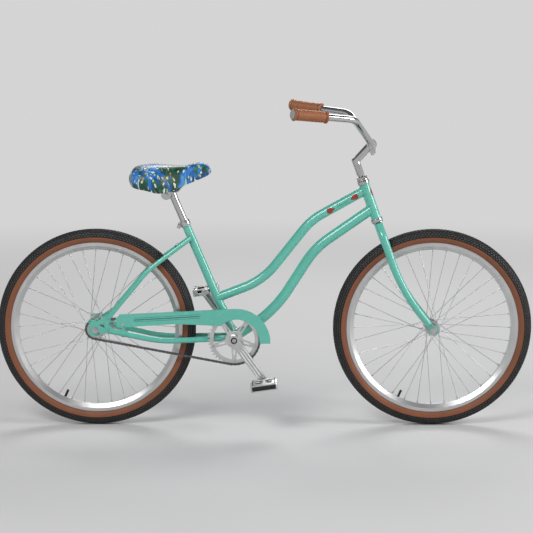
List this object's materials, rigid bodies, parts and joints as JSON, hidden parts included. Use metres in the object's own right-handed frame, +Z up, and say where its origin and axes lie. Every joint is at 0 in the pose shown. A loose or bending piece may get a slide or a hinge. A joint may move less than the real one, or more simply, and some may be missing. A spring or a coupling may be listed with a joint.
{
  "type": "beach cruiser bicycle",
  "caption": "Step-through beach cruiser bicycle with curved twin frame tubes, swept handlebar, wide saddle, balloon tyres, chain guard and coaster brake hub.",
  "frame": {"origin": "on the ground, midway between the two wheel axles", "axes": "+X forward, +Z up, -Y towards the chain side (the rider's right)"},
  "size_m": [1.7807, 0.6552, 1.0757],
  "materials": {
    "frame_paint": "gloss enamel",
    "chrome": "polished plating",
    "alloy": "satin",
    "steel": "zinc plated",
    "chain_steel": "oiled dark steel",
    "tyre_tread": "moulded block tread",
    "tyre_wall": "brown side wall",
    "tube_rubber": "butyl",
    "grip_rubber": "ribbed brown rubber",
    "plug_plastic": "moulded",
    "pedal_rubber": "moulded block",
    "saddle_shell": "moulded",
    "saddle_cover": "printed vinyl"
  },
  "bodies": {
    "frame": {"head_tube": "frame_paint", "top_tube": "frame_paint", "down_tube": "frame_paint", "seat_tube": "frame_paint", "bottom_bracket_shell": "frame_paint", "chain_stays": "frame_paint", "seat_stays": "frame_paint", "rear_dropouts": "frame_paint", "headset_cups": "chrome", "bottom_bracket_cups": "steel", "frame_bearing_balls": "steel", "chain_guard": "frame_paint", "stay_clips": "steel", "clip_screws": "steel", "seat_clamp": "chrome", "coaster_brake_arm": "steel", "rear_axle": "steel", "rear_axle_nuts": "steel", "chain": "chain_steel"},
    "fork": {"fork_steerer": "frame_paint", "fork_blades": "frame_paint", "fork_ends": "frame_paint", "headset_races_and_locknut": "chrome", "front_axle": "steel", "front_axle_nuts": "steel"},
    "stem": {"stem": "chrome", "stem_bolts": "chrome"},
    "handlebar": {"handlebar": "chrome", "grips": "grip_rubber", "grip_end_plugs": "plug_plastic"},
    "front_wheel": {"front_tyre_casing": "tyre_wall", "front_tyre_tread": "tyre_tread", "front_inner_tube": "tube_rubber", "front_rim": "alloy", "front_spokes": "steel", "front_hub_shell": "steel", "front_hub_balls": "steel"},
    "rear_wheel": {"rear_tyre_casing": "tyre_wall", "rear_tyre_tread": "tyre_tread", "rear_inner_tube": "tube_rubber", "rear_rim": "alloy", "rear_spokes": "steel", "rear_hub_shell": "steel", "rear_hub_balls": "steel"},
    "sprocket": {"rear_sprocket": "steel"},
    "crankset": {"crank_spindle": "steel", "crank_right": "alloy", "crank_left": "alloy", "chainring": "alloy", "crankset_bolts": "steel", "pedal_axles": "steel"},
    "pedal_right": {"pedal_body_right": "alloy", "pedal_treads_right": "pedal_rubber"},
    "pedal_left": {"pedal_body_left": "alloy", "pedal_treads_left": "pedal_rubber"},
    "seat_post": {"seat_post": "chrome"},
    "saddle_clamp": {"saddle_clamp": "chrome"},
    "saddle": {"saddle_rails": "steel", "saddle_base": "saddle_shell", "saddle_cushion": "saddle_cover"}
  },
  "joints": [
    {"name": "steer", "type": "hinge", "parent": "frame", "child": "fork", "pos_m": [0.34895, 0, 0.75453], "axis": [-0.342, 0, 0.9397], "range_deg": [-90, 90]},
    {"name": "stem_height", "type": "slide", "parent": "fork", "child": "stem", "axis": [-0.342, 0, 0.9397], "range_m": [-0.004, 0.045]},
    {"name": "bar_roll", "type": "hinge", "parent": "stem", "child": "handlebar", "pos_m": [0.35152, 0, 0.94293], "axis": [0, -1, 0], "range_deg": [-25, 25]},
    {"name": "front_wheel_spin", "type": "hinge", "parent": "fork", "child": "front_wheel", "pos_m": [0.5595, 0, 0.331], "axis": [0, -1, 0], "continuous": true},
    {"name": "rear_wheel_spin", "type": "hinge", "parent": "frame", "child": "rear_wheel", "pos_m": [-0.5595, 0, 0.331], "axis": [0, -1, 0], "continuous": true},
    {"name": "crank_spin", "type": "hinge", "parent": "frame", "child": "crankset", "pos_m": [-0.10015, 0, 0.2978], "axis": [0, -1, 0], "continuous": true, "deforming": ["chain"]},
    {"name": "sprocket_spin", "type": "hinge", "parent": "frame", "child": "sprocket", "pos_m": [-0.5595, 0, 0.331], "axis": [0, -1, 0], "continuous": true},
    {"name": "pedal_right_spin", "type": "hinge", "parent": "crankset", "child": "pedal_right", "pos_m": [-0.00023, 0, 0.16027], "axis": [0, -1, 0], "continuous": true},
    {"name": "pedal_left_spin", "type": "hinge", "parent": "crankset", "child": "pedal_left", "pos_m": [-0.20007, 0, 0.43533], "axis": [0, -1, 0], "continuous": true},
    {"name": "seat_height", "type": "slide", "parent": "frame", "child": "seat_post", "axis": [-0.3907, 0, 0.9205], "range_m": [-0.06, 0.1]},
    {"name": "saddle_tilt", "type": "hinge", "parent": "seat_post", "child": "saddle_clamp", "pos_m": [-0.32272, 0, 0.77738], "axis": [0, -1, 0], "range_deg": [-12, 12]},
    {"name": "saddle_slide", "type": "slide", "parent": "saddle_clamp", "child": "saddle", "axis": [1, 0, 0], "range_m": [-0.012, 0.012]}
  ],
  "couplings": [
    {"joint": "sprocket_spin", "follows": "crank_spin", "ratio": 2.625}
  ]
}
